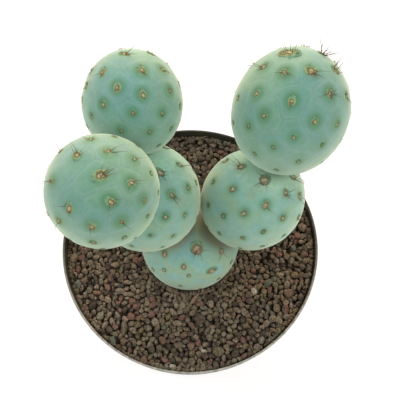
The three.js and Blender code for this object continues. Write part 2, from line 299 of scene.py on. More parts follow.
# Painted shade: the fill takes the darkest grain tint
BED_SHADE_TINT = 0.05
GRAIN_KINDS = 16
GRAIN_FACETS = 12
GRAIN_BULGE = 1.12
STEM_FOOT = (0, 0.6)
STEM_FOOT_RADIUS = 20.9
TOP_GRAINS = 1200
FILLER_GRAINS = 900
UNDER_GRAINS = 850
WALL_GRAINS = 260
# Two grains touch at a share of their radii's sum, a grain touches the wall at a share of its
# radius, and each round of settling clears a part of every overlap
GRAIN_TOUCH = 0.9
WALL_TOUCH = 0.85
SETTLING_ROUNDS = 60
GRAIN_PUSH = 0.4
FAR = 1000
# In radians, a grain is tilted up to the one and turned up to the other, a bit more than once round
GRAIN_TILT = 0.5
ANY_TURN = 7
# A grain's tint is a place on this ramp
GRAIN_COLOURS = [
    (0.0, "#4b4337"), (0.15, "#665d50"), (0.3, "#776d58"), (0.45, "#7d725f"), (0.6, "#867c6c"),
    (0.74, "#90856e"), (0.82, "#7b6759"), (0.88, "#7d6155"), (0.92, "#7e7256"), (0.96, "#6d7262"),
    (0.985, "#948e7c"), (1.0, "#c5c1ad"),
]
BROWN, RED, OCHRE, MOSSY, PALE = 0.4, 0.87, 0.92, 0.96, 0.995
PALEST_LOOSE = 0.975
# Painted shade: the lower layer's grains take only the darker tints
PALEST_UNDER_IN_SHADE = 0.3
# The largest and the most strongly coloured stones: x, y, half width, half length, turn, tint
LANDMARK_STONES = [
    (-31.7, -36.5, 2.0, 3.9, 0, BROWN),
    (3.2, -34.0, 3.1, 3.3, 0, 0.1),
    (-42.6, -30.9, 1.8, 2.6, 10, PALE - 0.01),
    (-28.1, -31.8, 2.2, 2.0, 0, RED),
    (-18.7, -30.9, 2.0, 1.8, 0, RED),
    (-1.0, -46.2, 1.7, 2.2, -20, RED - 0.04),
    (2.4, -45.3, 1.4, 2.1, 20, RED),
    (5.0, -48.9, 1.8, 1.0, 0, PALE),
    (-9.8, -55.2, 1.8, 1.0, 0, PALE),
    (11.7, -49.2, 3.1, 2.3, 0, 0.3),
    (-15.4, -47.0, 2.3, 2.1, 0, 0.25),
    (-36.8, -42.6, 1.8, 2.7, 15, MOSSY),
    (-51.5, -2.4, 1.7, 1.7, 0, RED),
    (-55.2, -2.2, 2.2, 2.7, 0, BROWN),
    (-53.0, -15.2, 2.0, 2.3, 0, MOSSY),
    (29.2, -21.8, 2.0, 2.0, 0, PALE),
    (51.4, -17.8, 1.3, 2.3, -10, OCHRE),
    (33.5, -22.3, 1.6, 2.6, 0, OCHRE),
    (35.0, -30.4, 1.4, 2.5, 0, MOSSY),
    (44.9, -23.0, 2.6, 2.4, 0, RED - 0.06),
    (53.5, 9.4, 2.5, 2.5, 0, RED - 0.1),
    (51.0, 5.4, 2.0, 2.0, 0, OCHRE - 0.03),
    (36.0, -17.4, 2.3, 2.0, 0, MOSSY),
    (31.9, -14.8, 1.6, 1.6, 0, MOSSY),
    (48.2, -14.6, 2.0, 2.0, 0, OCHRE),
    (39.0, -30.2, 2.0, 2.3, 0, BROWN),
    (43.1, -30.5, 2.1, 2.3, 0, OCHRE - 0.05),
    (48.6, -1.1, 1.5, 1.7, 0, MOSSY),
]


def lava_stone():
    """Porous volcanic stone, broken and tumbled: matt, pitted, and each grain of its own colour.
    Its pits are darkened in the colour as well, as painted shade.
    """
    material, tree, shader = new_material("lava_stone", {
        "IOR": 1.5, "Roughness": 0.92, "Specular IOR Level": 0.25,
    })
    place = add_node(tree, "TexCoord")
    tint = add_node(tree, "Attribute", attribute_name="tint")
    grain_colour = add_node(tree, "ValToRGB", {"Fac": tint}, stops=GRAIN_COLOURS)
    pits = add_node(tree, "TexNoise", {
        "Vector": place, "Scale": 1 / (0.8 * MM), "Detail": 5.0, "Roughness": 0.65,
    })
    # Painted shade: the colour darkens where the bump's pits lie low
    shade = add_node(tree, "ValToRGB", {"Fac": pits}, stops=[(0.32, "#7d776c"), (0.62, "#ffffff")])
    colour = add_node(
        tree, "Mix", {0: 1.0, 6: grain_colour, 7: shade},
        data_type="RGBA", blend_type="MULTIPLY",
    )
    bump = add_node(tree, "Bump", {"Height": pits, "Strength": 1.0, "Distance": 0.4 * MM})
    set_inputs(tree, shader, {"Base Color": colour, "Normal": bump})
    return material


def random_way(draw):
    """A unit vector in a random direction."""
    height = draw.uniform(-1, 1)
    turn = draw.uniform(0, 2 * math.pi)
    level = math.sqrt(1 - height * height)
    return Vector((level * math.cos(turn), level * math.sin(turn), height))


def grain_shape(draw):
    """A tumbled stone of about unit radius: a ball worn flat along a few random facets."""
    bm = bmesh.new()
    bmesh.ops.create_icosphere(bm, subdivisions=2, radius=1.0)
    facets = [(random_way(draw), draw.uniform(0.6, 0.95)) for _ in range(GRAIN_FACETS)]
    for vert in bm.verts:
        reaches = [depth / vert.co.dot(facet) for facet, depth in facets if vert.co.dot(facet) > 0.2]
        vert.co *= min([GRAIN_BULGE, *reaches]) * draw.uniform(0.92, 1.07)
    return mesh_from(bm, "grain")


def mark(mesh, name, values):
    """Keeps a value for each of a mesh's points, which its material reads."""
    mesh.attributes.new(name, "FLOAT", "POINT").data.foreach_set("value", values)


def gathered(copies):
    """One mesh of many small shapes. Each copy is (shape, placement, tint); the mesh keeps the
    tint, and each point's place in its own shape (height, reach and ahead), as attributes."""
    bm = bmesh.new()
    tints, heights, reaches, aheads = [], [], [], []
    for shape, placement, tint in copies:
        placed = shape.copy()
        placed.transform(placement)
        bm.from_mesh(placed)
        bpy.data.meshes.remove(placed)
        tints.extend([tint] * len(shape.vertices))
        heights.extend(vert.co.z for vert in shape.vertices)
        reaches.extend(math.hypot(vert.co.x, vert.co.y) for vert in shape.vertices)
        aheads.extend(vert.co.y for vert in shape.vertices)
    mesh = mesh_from(bm, "gathered")
    mark(mesh, "tint", tints)
    mark(mesh, "height", heights)
    mark(mesh, "reach", reaches)
    mark(mesh, "ahead", aheads)
    return mesh


def settled(draw, radii, held=()):
    """Places in mm for grains of these radii on the gravel's disc, pushed apart until they fit.
    The first grains are held where they are given."""
    rim = inner_radius(GRAVEL_LEVEL)
    places = list(held)
    for _ in radii[len(places):]:
        reach = rim * math.sqrt(draw.random())
        turn = draw.uniform(0, 2 * math.pi)
        places.append((reach * math.cos(turn), reach * math.sin(turn)))
    places = np.array(places)
    radii = np.array(radii)
    loose = (np.arange(len(radii)) >= len(held))[:, None]
    foot = np.array(STEM_FOOT)
    touch = GRAIN_TOUCH * (radii[:, None] + radii[None])
    for _ in range(SETTLING_ROUNDS):
        apart = places[:, None] - places[None]
        distance = np.hypot(apart[..., 0], apart[..., 1])
        np.fill_diagonal(distance, FAR)
        push = np.clip(touch - distance, 0, None) / distance
        places += GRAIN_PUSH * (apart * push[..., None]).sum(axis=1) * loose
        from_foot = np.linalg.norm(places - foot, axis=1)
        short = np.clip(STEM_FOOT_RADIUS + radii - from_foot, 0, None)
        places += (places - foot) * (short / from_foot)[:, None]
        reach = np.linalg.norm(places, axis=1)
        places *= np.minimum(1, (rim - WALL_TOUCH * radii) / reach)[:, None]
    return places


def placed_grain(draw, place, form, turn, tint, level, unevenness):
    """A copy of a grain shape that lies at a place, turned about the upright and a bit tilted."""
    height = level + GRAVEL_SLOPE * place[0] + draw.uniform(-unevenness, unevenness)
    stance = Matrix.Translation((place[0] * MM, place[1] * MM, height * MM))
    tilt = Matrix.Rotation(draw.uniform(-GRAIN_TILT, GRAIN_TILT), 4, "X")
    stance = stance @ tilt @ Matrix.Rotation(turn, 4, "Z")
    own_turn = Matrix.Rotation(draw.uniform(0, 2 * math.pi), 4, random_way(draw))
    size = Matrix.Diagonal((*[extent * MM for extent in form], 1))
    return draw.choice(grain_shapes), stance @ size @ own_turn, tint


def loose_grains(draw, radii, level, unevenness, held=(), palest=PALEST_LOOSE):
    """Copies of the grain shapes, settled side by side at a level; the held ones are left out."""
    copies = []
    for place, radius in list(zip(settled(draw, radii, held), radii))[len(held):]:
        slim = draw.uniform(0.66, 1.0)
        form = (radius * slim, radius * draw.uniform(1.0, 1.18), radius * draw.uniform(0.6, 0.9))
        tint = palest * draw.random()
        turn = draw.uniform(0, ANY_TURN)
        copies.append(placed_grain(draw, place, form, turn, tint, level, unevenness))
    return copies


def wall_grains(draw, level, unevenness):
    """Copies of small grains that lie in the corner between the gravel and the pot's wall."""
    copies = []
    for i in range(WALL_GRAINS):
        radius = draw.uniform(0.7, 1.3)
        around = 2 * math.pi * (i + draw.uniform(-0.4, 0.4)) / WALL_GRAINS
        reach = inner_radius(level) - 0.8 * radius
        form = (radius * 0.85, radius, radius * 0.8)
        place = (reach * math.cos(around), reach * math.sin(around))
        turn = draw.uniform(0, ANY_TURN)
        tint = PALEST_LOOSE * draw.random()
        copies.append(placed_grain(draw, place, form, turn, tint, level, unevenness))
    return copies


floor_corner = CHANNEL_INNER - FLOOR - GAP
channel_corner = CHANNEL_INNER + CHANNEL_SLOPE - FLOOR - GAP
bed_bm = spun([
    (0, FLOOR + GAP),
    (floor_corner, FLOOR + GAP),
    (channel_corner, CHANNEL_TOP + GAP),
    (inner_radius(CHANNEL_TOP) - GAP, CHANNEL_TOP + GAP),
    (inner_radius(BED_LEVEL) - GAP, BED_LEVEL),
    (0, BED_LEVEL),
], POT_STEPS)

stone = lava_stone()
gravel_draw = random.Random(7)
grain_shapes = [grain_shape(gravel_draw) for _ in range(GRAIN_KINDS)]
landmark_places = [(x, y) for x, y, *_ in LANDMARK_STONES]
landmark_radii = [(wide + long) / 2 for _, _, wide, long, _, _ in LANDMARK_STONES]
top_radii = landmark_radii + [gravel_draw.triangular(0.95, 2.3, 1.4) for _ in range(TOP_GRAINS)]
filler_radii = [gravel_draw.uniform(0.6, 1.0) for _ in range(FILLER_GRAINS)]
under_radii = [gravel_draw.uniform(1.4, 2.1) for _ in range(UNDER_GRAINS)]
top_copies = []
for x, y, wide, long, turn, tint in LANDMARK_STONES:
    form = (wide, long, 0.8 * min(wide, long))
    top_copies.append(placed_grain(
        gravel_draw, (x, y), form, math.radians(turn), tint, level=GRAVEL_LEVEL, unevenness=0.2,
    ))
top_copies += loose_grains(
    gravel_draw, top_radii, level=GRAVEL_LEVEL - 0.3, unevenness=0.7, held=landmark_places,
)
top_copies += loose_grains(gravel_draw, filler_radii, level=GRAVEL_LEVEL - 0.1, unevenness=0.6)
top_copies += wall_grains(gravel_draw, level=GRAVEL_LEVEL - 0.2, unevenness=0.4)
under_copies = loose_grains(
    gravel_draw, under_radii, level=GRAVEL_LEVEL - 2.3, unevenness=0.4, palest=PALEST_UNDER_IN_SHADE,
)
add_piece("gravel_top_grains", gathered(top_copies), stone, sharp_angle=34)
add_piece("gravel_under_grains", gathered(under_copies), stone, sharp_angle=34)

# Plant litter
# A dry flake of shed skin and a bit of straw, papery and light. They have dropped on the
# gravel and lie there loose.

LITTER = [
    # from, to, width, thickness in mm
    ((3.4, -21.6, 89.6), (-0.9, -27.2, 89.2), 1.5, 0.4),
    ((5.6, 56.3, 89.4), (10.2, 57.4, 89.6), 0.5, 0.4),
]


def dry_litter():
    """Dried plant skin: papery, pale tan with brown fibres."""
    material, tree, shader = new_material("dry_litter", {"Roughness": 0.8, "Specular IOR Level": 0.3})
    place = add_node(tree, "TexCoord")
    fibre = add_node(tree, "TexNoise", {"Vector": place, "Scale": 1 / (0.8 * MM), "Detail": 4.0})
    colour = add_node(tree, "ValToRGB", {"Fac": fibre}, stops=[(0.3, "#655040"), (0.7, "#857262")])
    bump = add_node(tree, "Bump", {"Height": fibre, "Strength": 0.4, "Distance": 0.1 * MM})
    set_inputs(tree, shader, {"Base Color": colour, "Normal": bump})
    return material


litter_bm = bmesh.new()
for start, end, width, thickness in LITTER:
    middle = (Vector(start) + Vector(end)) / 2 * MM
    way = Vector(end) - Vector(start)
    bmesh.ops.create_icosphere(
        litter_bm, subdivisions=3, radius=0.5,
        matrix=Matrix.Translation(middle) @ way.to_track_quat("Y", "Z").to_matrix().to_4x4()
        @ Matrix.Diagonal((width * MM, way.length * MM, thickness * MM, 1)),
    )
add_piece("plant_litter", mesh_from(litter_bm, "litter"), dry_litter())

# Stem segments
# Six round joints of one cactus, each grown from the flank or crown of an older one. The skin is
# firm and waxy, with a low swelling round each areole and fine seams where these meet.

AREOLES = 58
GOLDEN_ANGLE = math.radians(137.508)
NECK_SINK = 1.8
SEGMENTS = {
    # bearing, rise: the way a segment grows; sink: how deep its foot lies in its parent
    # tip: the bearing and rise of its growing tip, where the spiral of areoles starts
    # first_areole: the turn of the spiral's first areole; seed: of the skin's slow waves
    # wear: from 0 on the youngest segment to 1 on the oldest; bald: areoles that never opened
    # crown: younger segments round whose feet the skin is painted paler, as painted light; on
    # the oldest segment it is cork brown there, partly cork and partly painted shade
    # grown: areoles that grew aside from the spiral, as rank: (bearing, rise, number of spines)
    # large: areoles of a size of their own, as rank: (half width, length over width)
    "stem_base": dict(
        parent=None, centre=(0, 0.6, 97.5), bearing=0, rise=90, half_width=22.5, half_length=21.5,
        tip=(15, 71), first_areole=177, seed=11, wear=1.0, crown=("stem_left", "stem_right"), bald=(),
        large={7: (2.8, 1.15), 12: (1.9, 1.1), 20: (2.8, 0.65)},
        grown={
            7: (162, 65, 6), 10: (-132, 47, 0), 12: (124, 42, 2), 15: (-169, 43, 0), 20: (151, 30, 0),
            23: (-143, 27, 0), 28: (-177, 30, 0), 36: (-167, 7, 0), 41: (170, -7, 0),
        },
    ),
    "stem_left": dict(
        parent="stem_base", bearing=-66, rise=63, sink=NECK_SINK, half_width=23.5, half_length=24.4,
        tip=(-22, 68), first_areole=4, seed=12, wear=0.55, crown=("stem_left_back",), bald=(13,),
        large={},
        grown={
            3: (72, 72, 6), 5: (29, 36, 3), 8: (63, 45, 2), 11: (120, 56, 3), 16: (96, 39, 1),
            19: (150, 43, 0), 24: (127, 28, 0), 27: (174, 27, 0), 29: (83, 22, 0), 32: (150, 14, 0),
        },
    ),
    "stem_right": dict(
        parent="stem_base", bearing=74, rise=49, sink=NECK_SINK, half_width=22, half_length=24,
        tip=(58, 65), first_areole=196, seed=13, wear=0.68, crown=("stem_right_back",), bald=(26,),
        large={2: (2.5, 1.0), 4: (1.4, 1.6)},
        grown={
            1: (78, 46, 4), 2: (95, 82, 7), 4: (113, 55, 5), 5: (-41, 66, 5), 7: (162, 61, 1),
            9: (103, 32, 2), 10: (-105, 63, 0), 12: (143, 37, 0), 13: (-43, 38, 2), 15: (-157, 52, 0),
            18: (-78, 37, 0), 20: (172, 30, 0), 23: (-131, 36, 0), 28: (-165, 20, 0),
            31: (-105, 25, 0),
        },
    ),
    "stem_left_back": dict(
        parent="stem_left", bearing=-7, rise=47, sink=2.6, half_width=20.8, half_length=22.3,
        tip=(-16, 51), first_areole=271, seed=14, wear=0.1, crown=(), bald=(1, 7), large={},
        grown={
            0: (-9, 54, 3), 2: (31, 36, 2), 3: (-67, 57, 3), 5: (54, 73, 1), 8: (-126, 74, 0),
            10: (64, 46, 2), 11: (-82, 30, 1), 13: (139, 67, 0), 16: (-128, 50, 0), 18: (97, 41, 0),
            21: (175, 53, 0), 24: (-122, 27, 0), 26: (131, 37, 0), 29: (-167, 33, 0), 31: (103, 15, 0),
            34: (157, 27, 0), 39: (130, 10, 0),
        },
    ),
    "stem_left_front": dict(
        parent="stem_left", bearing=-129.4, rise=64.7, sink=NECK_SINK, half_width=22.4, half_length=23.6,
        tip=(-130, 72), first_areole=29, seed=15, wear=0.0, crown=(), bald=(0, 13, 16),
        large={1: (2.4, 1.25)},
        grown={
            1: (152, 83, 8), 2: (-140, 45, 2), 3: (-47, 64, 4), 4: (156, 57, 4), 5: (-93, 41, 2),
            6: (28, 66, 3), 7: (-173, 34, 1), 8: (-49, 32, 2), 9: (107, 54, 3), 12: (153, 32, 1),
            14: (65, 48, 1), 15: (-173, 10, 0), 17: (117, 33, 0), 20: (156, 9, 0), 22: (82, 28, 0),
            25: (125, 13, 0),
        },
    ),
    "stem_right_back": dict(
        parent="stem_right", bearing=33, rise=57, sink=NECK_SINK, half_width=23.8, half_length=27.5,
        tip=(25, 64), first_areole=74, seed=16, wear=0.0, crown=(), bald=(),
        large={1: (2.8, 1.0), 2: (3.2, 1.4)},
        grown={
            0: (37, 41, 16), 1: (54, 75, 6), 2: (-10, 56, 9), 3: (67, 46, 9), 4: (-54, 75, 5),
            6: (109, 57, 9), 7: (-53, 50, 4), 9: (-162, 70, 1), 12: (-96, 50, 0), 14: (155, 49, 0),
            17: (-129, 47, 0), 19: (129, 31, 0), 20: (-85, 23, 0), 22: (-176, 39, 0),
            25: (-121, 28, 0), 27: (152, 23, 0), 30: (-156, 26, 0), 35: (176, 12, 0), 38: (-140, 7, 0),
        },
    ),
}
SKIN_DETAIL = 7
SEAT = 0.15
SIDE_GAP = 0.4
DEEPEST_DENT = 1.5
BARE_DISTANCE = 2.4
GRAVEL_MARGIN = 3
# Relief of the skin, as its height and the distance over which it fades; the crease in a seam is
# that of the youngest skin, and wears away with age
SWELLING = (0.12, 3.6)
FELT_HOLLOW = (-0.35, 1.5)
SEAM_GROOVE = (-0.04, 1.4)
SEAM_CREASE = (-0.035, 0.4)
SEAM_WANDER = 0.019
SEAM_SOFTENING = 0.3
SKIN_WAVES = 5
WAVE_HEIGHT = 0.04
# Half width of an areole's felt at a segment's foot and what it gains at the crown; its length
# over its width; and how many ranks the crown's gain takes to fade
FELT_AT_FOOT = 0.95
FELT_GAIN = 1.05
FELT_LENGTH = 1.25
FELT_RANKS = 20
# A halo reaches so many times the half width of its felt, up to that of the widest felt that
# counts, and a margin; on the oldest segment it has lost a share of its depth
HALO_PER_FELT = 1.3
WIDEST_FELT = 3
HALO_MARGIN = 1.8
HALO_LOST = 0.7
# How far the painted light reaches round a younger segment's foot, and how much less the
# painted shade and cork reach on the oldest segment
CROWN_LIGHT_REACH = 16
CROWN_LIGHT_REACH_LOST = 10


def direction(bearing, rise):
    """The unit vector at a bearing from +Y towards +X and a rise above the horizontal."""
    level = math.cos(math.radians(rise))
    return np.array([
        math.sin(math.radians(bearing)) * level,
        math.cos(math.radians(bearing)) * level,
        math.sin(math.radians(rise)),
    ])


def radius_along(segment, ways):
    """The spheroid's radius along unit vectors from its centre."""
    along = ways @ segment["axis"]
    lengthwise = along ** 2 / segment["half_length"] ** 2
    crosswise = (1 - along ** 2) / segment["half_width"] ** 2
    return 1 / np.sqrt(lengthwise + crosswise)


def skin_points(segment, ways, heights):
    """Points that lie a height over the spheroid, for unit vectors of its unstretched ball."""
    stretch = (segment["half_length"] - segment["half_width"]) * (ways @ segment["axis"])
    reach = np.reshape(segment["half_width"] + heights, (-1, 1))
    return segment["origin"] + reach * ways + stretch[:, None] * segment["axis"]


def skin_position(segment, points):
    """The unit vectors of the unstretched ball for points near the skin, and their heights."""
    offset = points - segment["origin"]
    along = offset @ segment["axis"]
    squeeze = segment["half_width"] / segment["half_length"] - 1
    offset = offset + (squeeze * along)[:, None] * segment["axis"]
    length = np.linalg.norm(offset, axis=1)
    return offset / length[:, None], length - segment["half_width"]


def skin_normals(segment, ways):
    """Outward unit normals of the spheroid."""
    along = ways @ segment["axis"]
    squeeze = segment["half_width"] / segment["half_length"] - 1
    normals = ways + (squeeze * along)[:, None] * segment["axis"]
    return normals / np.linalg.norm(normals, axis=1)[:, None]


def clearance(segment, points):
    """How far points lie outside a segment's spheroid."""
    offset = points - segment["origin"]
    distance = np.linalg.norm(offset, axis=1)
    return distance - radius_along(segment, offset / distance[:, None])


def side_ways(ways):
    """Two unit vectors across each unit vector: one level, one at right angles to both."""
    across = np.cross(ways, (0, 0, 1))
    across /= np.linalg.norm(across, axis=1)[:, None]
    return across, np.cross(ways, across)


def areole_ways(segment):
    """Unit vectors of the areoles by rank, on one spiral from the tip with an even share of skin
    each, but for those that grew aside."""
    pole = direction(*segment["tip"])[None]
    across, beside = side_ways(pole)
    order = np.arange(AREOLES)
    height = 1 - (2 * order + 1) / AREOLES
    level = np.sqrt(1 - height ** 2)
    angle = math.radians(segment["first_areole"]) - GOLDEN_ANGLE * order
    around = across * np.cos(angle)[:, None] + beside * np.sin(angle)[:, None]
    ways = height[:, None] * pole + level[:, None] * around
    for rank, (bearing, rise, _) in segment["grown"].items():
        ways[rank] = direction(bearing, rise)
    return ways


def distances_to_areoles(segment, ways):
    """Distances along the skin in mm from unit vectors to each areole; a bald one is far away."""
    distances = np.arccos(np.clip(ways @ segment["areoles"].T, -1, 1)) * segment["half_width"]
    distances[:, list(segment["bald"])] = FAR
    return distances


def fading(distances, height, reach):
    """A height that fades smoothly with distance."""
    return height * np.exp(-(distances / reach) ** 2)


def skin_relief(segment, ways):
    """Heights of the skin over the spheroid in mm, and the distance to the nearest seam between
    two areoles' swellings. The seams wander, as growth pulls them about."""
    to_areole = distances_to_areoles(segment, ways).min(axis=1)
    swelling = fading(to_areole, *SWELLING) + fading(to_areole, *FELT_HOLLOW)
    pulled = ways + sum(
        SEAM_WANDER * np.sin(3 * pitch * (ways @ way) + phase)[:, None] * np.roll(way, 1)
        for way, pitch, phase in segment["waves"]
    )
    pulled /= np.linalg.norm(pulled, axis=1)[:, None]
    nearest = np.partition(distances_to_areoles(segment, pulled), 1, axis=1)
    to_seam = (nearest[:, 1] - nearest[:, 0]) / 2
    depth, width = SEAM_CREASE
    seam = fading(to_seam, depth * (1 - segment["wear"]), width) + fading(to_seam, *SEAM_GROOVE)
    waves = sum(
        WAVE_HEIGHT * np.sin(ways @ way * pitch + phase) for way, pitch, phase in segment["waves"]
    )
    return swelling + seam + waves, to_seam


for segment in SEGMENTS.values():
    segment["axis"] = direction(segment["bearing"], segment["rise"])
    if segment["parent"]:
        parent = SEGMENTS[segment["parent"]]
        start = radius_along(parent, segment["axis"][None])[0]
        reach = start + segment["half_length"] - segment["sink"]
        segment["origin"] = parent["origin"] + reach * segment["axis"]
    else:
        segment["origin"] = np.array(segment["centre"])
    segment["areoles"] = areole_ways(segment)
    draw = random.Random(segment["seed"])
    segment["waves"] = [
        (np.array(random_way(draw)), draw.uniform(3, 7), draw.uniform(0, 6.28))
        for _ in range(SKIN_WAVES)
    ]


def waxy_skin():
    """Living cactus skin under a thin bloom of wax: satin and blue-green, paler and greyer where it
    has aged. The bloom is thin in a dark green halo round each areole, and lies thick along
    the seams, which have a fine dark line; where the skin turns away it casts pale. Round the
    foot of a younger segment the skin is painted paler, as painted light; on the oldest segment
    it is painted cork brown there, partly cork and partly painted shade."""
    material, tree, shader = new_material("waxy_stem_skin", {
        "IOR": 1.42, "Sheen Weight": 0.78, "Sheen Roughness": 0.6, "Sheen Tint": linear("#e2f0d2"),
        "Specular IOR Level": 0.35,
    })
    place = add_node(tree, "TexCoord")
    wear, halo, seam, crown = [
        add_node(tree, "Attribute", attribute_name=name) for name in ("wear", "halo", "seam", "crown")
    ]
    drift = add_node(tree, "TexNoise", {"Vector": place, "Scale": 1 / (26 * MM), "Detail": 3.0})
    blotch = add_node(tree, "TexNoise", {"Vector": place, "Scale": 1 / (7 * MM), "Detail": 3.0})
    mottle = add_node(tree, "TexNoise", {
        "Vector": place, "Scale": 1 / (2.2 * MM), "Detail": 6.0, "Roughness": 0.6,
    })
    young_skin = add_node(
        tree, "ValToRGB", {"Fac": drift},
        stops=[(0.36, "#558e87"), (0.5, "#588f7f"), (0.64, "#63957a")],
    )
    old_skin = add_node(
        tree, "ValToRGB", {"Fac": blotch},
        stops=[(0.38, "#79b0ad"), (0.5, "#7eb1a4"), (0.62, "#87ad92")],
    )
    skin = add_node(tree, "Mix", {0: wear, 6: young_skin, 7: old_skin}, data_type="RGBA")
    ragged = add_node(tree, "MapRange", [mottle, 0.3, 0.7, -0.14, 0.14])
    halo_edge = add_node(tree, "Math", [halo, ragged], operation="ADD")
    halo_cover = add_node(
        tree, "MapRange", [halo_edge, 0.1, 0.75, 0, 0.85], interpolation_type="SMOOTHSTEP",
    )
    halo_colour = add_node(tree, "Mix", {0: halo_cover, 6: skin, 7: linear("#407c58")}, data_type="RGBA")
    bloom = add_node(tree, "MapRange", [seam, 1.5, 0.3, 0, 0.16], interpolation_type="SMOOTHSTEP")
    bloom_colour = add_node(
        tree, "Mix", {0: bloom, 6: halo_colour, 7: linear("#8aaaab")}, data_type="RGBA",
    )
    line = add_node(tree, "MapRange", [seam, 0.42, 0.08, 0, 0.35], interpolation_type="SMOOTHSTEP")
    strength = add_node(tree, "MapRange", [blotch, 0.35, 0.6])
    line_cover = add_node(tree, "Math", [line, strength], operation="MULTIPLY")
    line_colour = add_node(
        tree, "Mix", {0: line_cover, 6: bloom_colour, 7: linear("#447874")}, data_type="RGBA",
    )
    # Painted light round the feet of younger segments: the skin is painted paler there; on the oldest
    # segment cork brown, partly cork and partly painted shade
    crown_edge = add_node(tree, "Math", [crown, ragged], operation="ADD")
    crown_cover = add_node(
        tree, "MapRange", [crown_edge, 0.1, 0.85, 0, 0.85], interpolation_type="SMOOTHSTEP",
    )
    cork_and_shade = add_node(tree, "MapRange", [wear, 0.6, 0.9])
    crown_light_and_shade = add_node(
        tree, "Mix", {0: cork_and_shade, 6: linear("#96c8ae"), 7: linear("#7d7358")}, data_type="RGBA",
    )
    crown_colour = add_node(
        tree, "Mix", {0: crown_cover, 6: line_colour, 7: crown_light_and_shade}, data_type="RGBA",
    )
    speckle = add_node(tree, "ValToRGB", {"Fac": mottle}, stops=[(0.3, "#e6ece9"), (0.7, "#ffffff")])
    colour = add_node(
        tree, "Mix", {0: 1.0, 6: crown_colour, 7: speckle},
        data_type="RGBA", blend_type="MULTIPLY",
    )
    gloss = add_node(tree, "MapRange", [mottle, 0, 1, 0.42, 0.62])
    pores = add_node(tree, "TexNoise", {"Vector": place, "Scale": 1 / (0.5 * MM), "Detail": 3.0})
    bump = add_node(tree, "Bump", {"Height": pores, "Strength": 0.15, "Distance": 0.12 * MM})
    set_inputs(tree, shader, {"Base Color": colour, "Roughness": gloss, "Normal": bump})
    return material


def areole_size(segment, rank):
    """The felt pad's half width in mm, and its length over its width: large on the crown, small
    near the foot of a segment."""
    usual = FELT_AT_FOOT + FELT_GAIN * math.exp(-rank / FELT_RANKS)
    return segment["large"].get(rank, (usual, FELT_LENGTH))


def halo_share(segment, ways):
    """How deep unit vectors lie in an areole's halo, from 0 outside; the youngest and the oldest
    areoles have less of one."""
    ranks = range(AREOLES)
    felt = np.array([areole_size(segment, rank)[0] for rank in ranks])
    sizes = HALO_PER_FELT * np.minimum(WIDEST_FELT, felt) + HALO_MARGIN
    depths = np.array([0.5 if rank < 4 else 1.0 if rank < 20 else 0.75 for rank in ranks])
    depths *= 1 - HALO_LOST * segment["wear"] ** 2
    return (depths * np.clip(1.25 - distances_to_areoles(segment, ways) / sizes, 0, 1)).max(axis=1)


def is_bare(segment, points):
    """Whether another segment or the gravel comes too close for an areole to grow there."""
    bare = points[:, 2] < GRAVEL_LEVEL + GRAVEL_MARGIN
    for other in SEGMENTS.values():
        if other is not segment:
            bare |= clearance(other, points) < BARE_DISTANCE
    return bare


def crown_light_share(segment, points):
    """How near points of the skin are to the foot of a younger segment, from 0 to 1. There the
    skin is painted paler, as painted light, and on the oldest segment cork brown, partly cork and
    partly painted shade.
    """
    share = np.zeros(len(points))
    reach = CROWN_LIGHT_REACH - CROWN_LIGHT_REACH_LOST * segment["wear"]
    for younger in segment["crown"]:
        near = np.clip(clearance(SEGMENTS[younger], points), 0, None)
        share = np.maximum(share, fading(near, 1, reach))
    return share


def stem_mesh(segment):
    """The segment's skin, seated on its parent and clear of the segments beside it."""
    bm = bmesh.new()
    bmesh.ops.create_icosphere(bm, subdivisions=SKIN_DETAIL, radius=1.0)
    mesh = mesh_from(bm, "skin")
    ways = np.zeros(len(mesh.vertices) * 3)
    mesh.vertices.foreach_get("co", ways)
    ways = ways.reshape(-1, 3)
    ways /= np.linalg.norm(ways, axis=1)[:, None]
    heights, to_seam = skin_relief(segment, ways)
    for other in SEGMENTS.values():
        if other is not segment and SEGMENTS.get(segment["parent"]) is not other:
            near = clearance(other, skin_points(segment, ways, heights))
            heights -= np.clip(SIDE_GAP - near, 0, DEEPEST_DENT)
    points = skin_points(segment, ways, heights)
    if segment["parent"]:
        parent = SEGMENTS[segment["parent"]]
        seat_ways, over = skin_position(parent, points)
        seat = skin_relief(parent, seat_ways)[0] + SEAT
        inside = over < seat
        points[inside] = skin_points(parent, seat_ways[inside], seat[inside])
    mesh.vertices.foreach_set("co", (points * MM).ravel())
    mark(mesh, "halo", halo_share(segment, ways))
    mark(mesh, "seam", to_seam + SEAM_SOFTENING * segment["wear"])
    mark(mesh, "wear", np.full(len(ways), segment["wear"]))
    mark(mesh, "crown", crown_light_share(segment, points))
    return mesh


skin_material = waxy_skin()
for name, segment in SEGMENTS.items():
    add_piece(name + "_skin", stem_mesh(segment), skin_material, name)

# Root
# The plant's main root, pale brown and fibrous. It grows down from the foot of the base segment
# into the gravel's depth, whose fill has a hole for it.

ROOT_LENGTH = 28
ROOT_TOP_RADIUS = 5
ROOT_END_RADIUS = 1.8
ROOT_NECK = 0.9
ROOT_RINGS = 14
ROOT_RIDGES = 5
RIDGE_HEIGHT = 0.25
RIDGE_TWIST = 0.11
CUP_ROOM = 1


